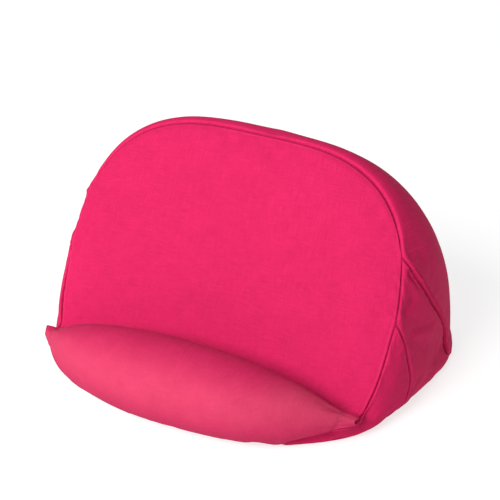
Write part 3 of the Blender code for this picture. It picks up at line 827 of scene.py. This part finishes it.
WEAVE = dict(thread=0.5, contrast=1.0, sheen=0.03, roughness=0.78, specular=0.06, tint=(1.0, 0.25, 0.45))
PINK = woven("pink_weave", (0.46, 0.0105, 0.073), (0.30, 0.005, 0.042), (0.62, 0.022, 0.112), **WEAVE)
# the roll's weave: a darker base that stands for painted shade on its top and underside, with painted light added on
# its front
ROLL_PINK_PAINTED_LIGHT = woven("pink_weave_painted_light", (0.405, 0.0118, 0.067), (0.27, 0.0058, 0.040), (0.56, 0.024, 0.106), painted_light_colour=(0.058, 0.0225, 0.0215), **WEAVE)
LINING = woven("lining_weave", (0.74, 0.72, 0.70), (0.60, 0.58, 0.56), (0.85, 0.83, 0.80),
               thread=0.8, contrast=1.0, sheen=0.08, roughness=0.85, specular=0.2, tint=(1.0, 1.0, 1.0))
BEADS = beads_material()

# ---------------------------------------------------------------- the panels
back_grid = fine(coarse_back(), COLUMNS_AT, ROWS_AT)
rest_grid = fine(coarse_rest(), COLUMNS_AT, REST_AT)
gusset_grid = fine(coarse_gusset(), UPPER_AT, ROWS_AT)
front_grid = fine(coarse_front(), LOWER_AT, ROWS_AT)
roll_grid = fine(coarse_roll(), ROLL_AT, ROUND_AT)
MIRROR = np.array([-1.0, 1.0, 1.0])

joint = len(LOWER_AT) - 1
toes = (len(ROWS_AT) - 1, len(ROWS_AT) + len(FRONT_AT) - 2)
cover = [
    (roll_grid, ROLL_AT, ROUND_AT, toes, ()),
    (rest_grid, COLUMNS_AT, REST_AT, (), (joint,)),
    (back_grid, COLUMNS_AT, ROWS_AT, (), ()),
    (gusset_grid, UPPER_AT, ROWS_AT, (), ()),
    (gusset_grid * MIRROR, UPPER_AT, ROWS_AT, (), ()),
    (front_grid, LOWER_AT, ROWS_AT, (), ()),
    (front_grid * MIRROR, LOWER_AT, ROWS_AT, (), ()),
]
moves = swell(cover, (2.2, 1.6, 2.2, 2.2, 2.2, 2.2, 2.2))

VALLEY = [(118.9, 46.8, 65.7), (119.4, 51.9, 69.9), (120, 58.5, 73.4), (120.1, 63.2, 76.1)]
CREASE_D = [(122.0, 52.0, 55.5), (122.9, 64.9, 50.5), (124.2, 75.0, 48.0), (125.1, 85.2, 46.2)]
RIDGE_UP = [(114.5, 62.0, 94.5), (116.0, 64.8, 91.7), (115.9, 71.1, 95.5), (115.7, 79.6, 98.2), (115.0, 90.9, 99.5)]
POCKET = [(115.3, 60.8, 92.0), (116.9, 62.0, 88.0), (118.2, 63.8, 84.6), (119.2, 66.0, 81.5)]
KNOT = (119.6, 67.2, 80.8)


def flip(line, side, drift):
    """The same feature on the other side, a little displaced, because no two sides are sewn alike."""
    return [(x * side, y + (drift if side < 0 else 0.0), z) for x, y, z in line]


def back_detail(p, near, sides):
    out = np.zeros(near.shape)
    for side, d in ((1, sides[0]), (-1, sides[1])):
        # the folded allowance stands up as a thin double ridge beside the seam
        low = smooth((p[..., 2] - 24.0) / 12.0) * smooth((96.0 - p[..., 2]) / 8.0)
        out += low * (1.5 * np.exp(-((d - 1.5) / 0.6) ** 2) - 0.5 * np.exp(-((d - 3.0) / 0.7) ** 2) + 0.3 * np.exp(-((d - 4.5) / 1.0) ** 2))
        tuck = smooth((p[..., 2] - 6.0) / 5.0) * smooth((33.0 - p[..., 2]) / 8.0)
        out += tuck * (1.3 * np.exp(-((d - 2.0) / 1.3) ** 2) - 0.6 * np.exp(-((d - 5.0) / 1.6) ** 2))
        out += stroke(p, flip(RIDGE_UP, side, 3.0), 0.5, 2.2, 0.1, 0.5)
        out += stroke(p, flip([(x, y + 4.5, z - 3.0) for x, y, z in RIDGE_UP], side, 3.0), -0.35, 3.0, 0.1, 0.5)
        out += dimple(p, np.array(KNOT) * [side, 1, 1], 1.6, 2.2)
    # faint drags that run in from the lower corners and the rim
    out += stroke(p, [(118, 122, 12), (96, 132, 26), (72, 138, 42)], 0.5, 7.0)
    out += stroke(p, [(-118, 121, 14), (-94, 131, 30), (-66, 137, 45)], 0.45, 6.5)
    out += stroke(p, [(60, 120, 108), (38, 128, 92), (20, 133, 74)], -0.35, 8.0)
    return out


def gusset_detail(side):
    def detail(p, near, sides):
        q = p * [side, 1, 1]
        out = stroke(q, VALLEY, -2.1, 4.0, 0.25, 0.25)
        out += stroke(q, CREASE_D, -0.9, 1.7) + stroke(q, [(x + 0.3, y + 0.5, z - 5.0) for x, y, z in CREASE_D], 0.8, 4.0)
        out -= 2.3 * np.exp(-(sides[1] / 2.3) ** 2) * smooth((q[..., 2] - 6.0) / 5.0) * smooth((33.0 - q[..., 2]) / 8.0)
        out += stroke(q, POCKET, -2.7, 1.8, 0.2, 0.3) + dimple(q, (119.5, 64.9, 80.4), -1.2, 2.0)
        out += dimple(q, (126.2, 89.2, 14.2), 0.8, 6.5) + dimple(q, (126.5, 97.0, 20.0), -0.5, 5.0)
        out += 0.5 * (1 + 0 * near) * np.exp(-((q[..., 1] - 66.0) ** 2 + (q[..., 2] - 30.0) ** 2) / 20.0 ** 2)
        return out if side > 0 else 0.85 * out
    return detail


def front_detail(side):
    def detail(p, near, sides):
        q = p * [side, 1, 1]
        out = 0.7 * np.exp(-((q[..., 1] - 22.0) ** 2 + (q[..., 2] - 26.0) ** 2) / 15.0 ** 2)
        # the folded edge just behind the tip
        out += stroke(q, [(108.3, -3.5, 18.6), (109.3, 3.0, 16.0), (110.2, 8.6, 13.7)], 0.6, 1.3)
        out += stroke(q, [(112, 12, 12), (118, 22, 9), (121, 28, 7)], -0.4, 3.0)
        out += stroke(q, [(117.4, 39.6, 57.8), (116.8, 35.5, 52.0), (115.6, 31.8, 46.0)], -0.5, 2.0, 0.1, 0.5)
        return out * smooth(near / 1.2)
    return detail


def rest_detail(p, near, sides):
    # drawn a little hollow by use, with faint drags at its lower corners
    hollow = -0.9 * np.exp(-(p[..., 0] / 80.0) ** 2 - ((p[..., 2] - 70.0) / 42.0) ** 2)
    out = hollow
    for side in (1, -1):
        out += stroke(p, [(105 * side, 12, 20), (88 * side, 22, 38), (70 * side, 31, 54)], -0.4, 5.5, 0.1, 0.6)
        out += stroke(p, [(112 * side, 24, 42), (98 * side, 28, 50), (80 * side, 33, 58)], 0.3, 5.0, 0.1, 0.6)
    return out * smooth(near / 5.0)


def roll_detail(p, near, sides):
    x = p[..., 0]
    yc, zc, _ = roll_section(x)
    turn = np.arctan2(p[..., 2] - zc, p[..., 1] - yc)
    gather = 0.24 * np.sin(7.0 * turn + 0.9 * np.sin(3.0 * turn + x / 40.0)) * smooth((np.abs(x) - 74.0) / 28.0) * smooth((113.0 - np.abs(x)) / 10.0)
    drag = stroke(p, [(-84, -50, 30), (-50, -52.5, 34), (-8, -53.5, 36)], -0.3, 9.0, 0.3, 0.3)
    drag += stroke(p, [(20, -50, 16), (55, -44, 14), (84, -34, 16)], 0.35, 8.0, 0.3, 0.3)
    return gather * smooth(near / 3.0) + drag


def painted_light_share(p):
    """How much painted light each place of the roll gets: its front face most, its top and underside least."""
    yc, zc, _ = roll_section(p[..., 0])
    turn = np.degrees(np.arctan2(p[..., 2] - zc, p[..., 1] - yc)) % 360.0
    end = smooth((p[..., 0] - 50.0) / 40.0)
    return np.exp(-((turn - 160.0 + 35.0 * end) / (44.0 + 30.0 * end)) ** 2)


panel("roll_cover", "roll_panel", roll_grid, moves[0], roll_detail, ROLL_PINK_PAINTED_LIGHT, 1, puff=0.15, pucker=0.08, rub=painted_light_share(roll_grid))
panel("backrest_cover", "backrest_panel", rest_grid, moves[1], rest_detail, PINK, 2)
panel("back_cover", "back_panel", back_grid, moves[2], back_detail, PINK, 3)
panel("right_gusset_cover", "side_gusset_right", gusset_grid, moves[3], gusset_detail(1), PINK, 4)
panel("left_gusset_cover", "side_gusset_left", gusset_grid * MIRROR, moves[4], gusset_detail(-1), PINK, 5)
panel("right_front_cover", "side_front_right", front_grid, moves[5], front_detail(1), PINK, 6)
panel("left_front_cover", "side_front_left", front_grid * MIRROR, moves[6], front_detail(-1), PINK, 7)


def base_cover():
    """The underside, ring by ring in from the base seam."""
    right = np.vstack([
        weights(UPPER_AT, UPPER_EDGE) @ base_seam_side(UPPER_EDGE),
        (weights(LOWER_AT, LOWER_EDGE) @ base_seam_front(LOWER_EDGE))[1:]])
    middle = weights(FRONT_AT, FRONT_COLUMNS) @ base_front(FRONT_COLUMNS)
    rear = weights(COLUMNS_AT, COLUMNS) @ base_rear(COLUMNS)
    ring = settle(np.vstack([right, middle[1:-1], (right * MIRROR)[::-1], rear[::-1][1:-1]]), 6)
    centre = np.array([0.0, 55.0, 0.0])
    share = np.r_[0, np.cumsum(np.geomspace(0.4, 2.2, 11))]
    share = np.r_[share, np.linspace(share[-1] + 2.4, 107.0, 46)] / 109.0
    rings = centre + (ring[None] - centre) * (1 - share)[:, None, None]
    rings[1:, :, 2] = np.minimum(rings[1:, :, 2], 1.5)
    curved = 14
    rings[1:curved] = settle(rings[1:curved], 8)
    rings[curved:, :, 2] = 0.0
    n = normals(rings)
    n[curved:] = (0, 0, -1)
    layers, count = rings.shape[:2]
    near = np.concatenate([np.zeros((1, count)), np.cumsum(np.linalg.norm(np.diff(rings, axis=0), axis=-1), 0)])
    run = np.repeat(np.r_[0.0, np.cumsum(np.linalg.norm(np.diff(rings[0], axis=0), axis=1))][None], layers, 0)
    push = -seam_depth(rings) * np.exp(-(near / 0.85) ** 2) + 0.06 * np.sin(2 * np.pi * run / 7.3) * np.exp(-near / 5.0) * smooth(near)
    # the flat underside lifts here and there between the places that carry
    lift = 0.22 * (1 + noise(rings, 30.0, 3)) * smooth((near - 14.0) / 12.0)
    outer = rings + ears(rings) + (push + bulge(rings))[..., None] * n
    outer[..., 2] = np.maximum(outer[..., 2], 0.0) + lift
    outer[0, :, 2] = np.maximum(outer[0, :, 2], 0.05)
    thick = 1.0 + 2.0 * np.exp(-(near / 1.2) ** 2)
    inner = outer - thick[..., None] * n
    total = layers * count
    hub = np.array([[0.0, 55.0, float(outer[-1, :, 2].mean())], [0.0, 55.0, float(inner[-1, :, 2].mean())]])
    k = np.arange(count)
    l = (k + 1) % count
    quads = []
    for j in range(layers - 1):
        q = np.stack([j * count + k, j * count + l, (j + 1) * count + l, (j + 1) * count + k], -1)
        quads += [q, q[:, ::-1] + total]
    quads.append(np.stack([k, k + total, l + total, l], -1))
    j = (layers - 1) * count
    tris = np.vstack([np.stack([j + k, j + l, np.full(count, 2 * total)], -1),
                      np.stack([total + j + l, total + j + k, np.full(count, 2 * total + 1)], -1)])
    quads = np.vstack(quads)
    points = np.vstack([outer.reshape(-1, 3), inner.reshape(-1, 3), hub])
    a, b, c = (points[quads[0][i]] for i in range(3))
    if np.cross(b - a, c - a) @ (outer[0, 0] - inner[0, 0]) < 0:
        quads, tris = quads[:, ::-1], tris[:, ::-1]
    flat = np.vstack([outer[..., :2].reshape(-1, 2), outer[..., :2].reshape(-1, 2), hub[:, :2]])
    seam = np.vstack([np.stack([near, run], -1).reshape(-1, 2)] * 2 + [np.full((2, 2), 60.0)])
    maps = {"weave_mm": flat / 100.0, "seam_mm": seam / 100.0}
    declare(build_mesh("base_cover", points, quads, tris, maps, PINK), "base_panel")


base_cover()


# ---------------------------------------------------------------- what the cover holds
def evenly_meshed(node, voxel):
    """The node's solid in an even mesh: the points in layout millimetres, their outward directions and the faces."""
    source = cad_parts[node]
    copy = bpy.data.objects.new("copy", source.data.copy())
    bpy.context.scene.collection.objects.link(copy)
    copy.matrix_world = source.matrix_world
    remesh = copy.modifiers.new("Remesh", "REMESH")
    remesh.mode = "VOXEL"
    remesh.voxel_size = voxel / 1000.0
    graph = bpy.context.evaluated_depsgraph_get()
    mesh = bpy.data.meshes.new_from_object(copy.evaluated_get(graph))
    p, n = np.empty(len(mesh.vertices) * 3, np.float32), np.empty(len(mesh.vertices) * 3, np.float32)
    mesh.vertices.foreach_get("co", p)
    mesh.vertex_normals.foreach_get("vector", n)
    faces = [tuple(face.vertices) for face in mesh.polygons]
    world = np.array(source.matrix_world)
    p = (p.reshape(-1, 3) @ world[:3, :3].T + world[:3, 3]) * 1000.0 - SHIFT
    n = n.reshape(-1, 3) @ world[:3, :3].T
    old = copy.data
    bpy.data.objects.remove(copy, do_unlink=True)
    bpy.data.meshes.remove(old)
    bpy.data.meshes.remove(mesh)
    quads = np.array([f for f in faces if len(f) == 4]).reshape(-1, 4)
    tris = np.array([f for f in faces if len(f) == 3], int).reshape(-1, 3)
    return p, n / np.linalg.norm(n, axis=-1, keepdims=True), quads, tris


def bead_mass(name, node, voxel=1.7, size=4.6, radius=2.9, seed=5):
    """Packed beads: the solid's surface drawn in between beads that lie against it."""
    p, n, quads, tris = evenly_meshed(node, voxel)
    random = np.random.default_rng(seed).random((16, 16, 16, 4))
    cell = np.floor(p / size).astype(int)
    gap, tone = np.full(len(p), 1e9), np.zeros(len(p))
    for step in np.ndindex(3, 3, 3):
        c = cell + np.array(step) - 1
        r = random[c[:, 0] % 16, c[:, 1] % 16, c[:, 2] % 16]
        d = np.linalg.norm(p - (c + 0.15 + 0.7 * r[:, :3]) * size, axis=-1)
        tone = np.where(d < gap, r[:, 3], tone)
        gap = np.minimum(d, gap)
    sunk = np.minimum(radius - np.sqrt(np.maximum(radius ** 2 - gap ** 2, 0.0)), 1.3)
    low = p[:, 2] < 2.5
    points = p - (0.5 + sunk)[:, None] * n
    points[low, 2] = np.maximum(points[low, 2], p[low, 2])
    # the second channel, how deep each point lies between beads, is painted as shade by the bead material
    maps = {"bead_tone": np.stack([tone, sunk / 1.3], -1)}
    obj = build_mesh(name, points, quads, tris, maps, BEADS)
    declare(obj, node)
    return obj


bead_mass("body_beads", "body_bead_fill", seed=5)
bead_mass("roll_beads", "roll_bead_fill", seed=6)


def divider():
    """The strip of lining between the two fillings, pressed into faint waves by the beads on both sides."""
    p, n, quads, tris = evenly_meshed("divider_strip", 0.55)
    wave = 0.10 * noise(p, 6.0, 1) + 0.06 * noise(p, 3.0, 2)
    p = p + (wave - 0.10)[:, None] * n
    maps = {"weave_mm": np.stack([p[:, 0], p[:, 2]], -1) / 100.0, "seam_mm": np.stack([np.full(len(p), 9.0), p[:, 0]], -1) / 100.0}
    declare(build_mesh("divider_lining", p, quads, tris, maps, LINING), "divider_strip")


divider()

# ---------------------------------------------------------------- floor, light, camera
floor_mesh = bpy.data.meshes.new("floor")
floor_mesh.from_pydata([(-6, -6, -0.0002), (6, -6, -0.0002), (6, 6, -0.0002), (-6, 6, -0.0002)], [], [(0, 1, 2, 3)])
floor = bpy.data.objects.new("floor", floor_mesh)
bpy.context.scene.collection.objects.link(floor)
floor_finish = bpy.data.materials.new("pale_floor")
floor_finish.use_nodes = True
floor_shader = floor_finish.node_tree.nodes["Principled BSDF"]
floor_shader.inputs["Base Color"].default_value = (0.36, 0.36, 0.36, 1)
floor_shader.inputs["Roughness"].default_value = 0.9
floor_shader.inputs["Specular IOR Level"].default_value = 0.0
floor_shader.inputs["Emission Color"].default_value = (1, 1, 1, 1)
floor_shader.inputs["Emission Strength"].default_value = 0.70
floor_mesh.materials.append(floor_finish)

world = bpy.context.scene.world or bpy.data.worlds.new("studio")
bpy.context.scene.world = world
world.use_nodes = True
background = world.node_tree.nodes.get("Background")
background.inputs["Color"].default_value = (1.0, 1.0, 1.0, 1)
background.inputs["Strength"].default_value = 0.51


def softbox(name, place, target, size, power):
    data = bpy.data.lights.new(name, "AREA")
    data.shape = "RECTANGLE"
    data.size, data.size_y = size
    data.energy = power
    obj = bpy.data.objects.new(name, data)
    obj.location = place
    obj.rotation_euler = (Vector(target) - Vector(place)).to_track_quat("-Z", "Y").to_euler()
    bpy.context.scene.collection.objects.link(obj)
    return obj


softbox("key", (-0.44, -1.46, 1.20), (0, 0, 0.05), (1.4, 0.9), 53.0)

bpy.context.scene.view_settings.view_transform = "Standard"

AZIMUTH, ELEVATION = np.radians(27.168), np.radians(29.46)
back_way = Vector((np.sin(AZIMUTH) * np.cos(ELEVATION), -np.cos(AZIMUTH) * np.cos(ELEVATION), np.sin(ELEVATION)))
camera_data = bpy.data.cameras.new("camera")
camera_data.sensor_width = 36.0
camera_data.lens = 115.2
camera_data.clip_start, camera_data.clip_end = 0.05, 20.0
camera = bpy.data.objects.new("camera", camera_data)
camera.location = Vector((412.87, -731.07 + SHIFT[1], 580.80)) / 1000.0
camera.rotation_euler = (-back_way).to_track_quat("-Z", "Y").to_euler()
bpy.context.scene.collection.objects.link(camera)
bpy.context.scene.camera = camera
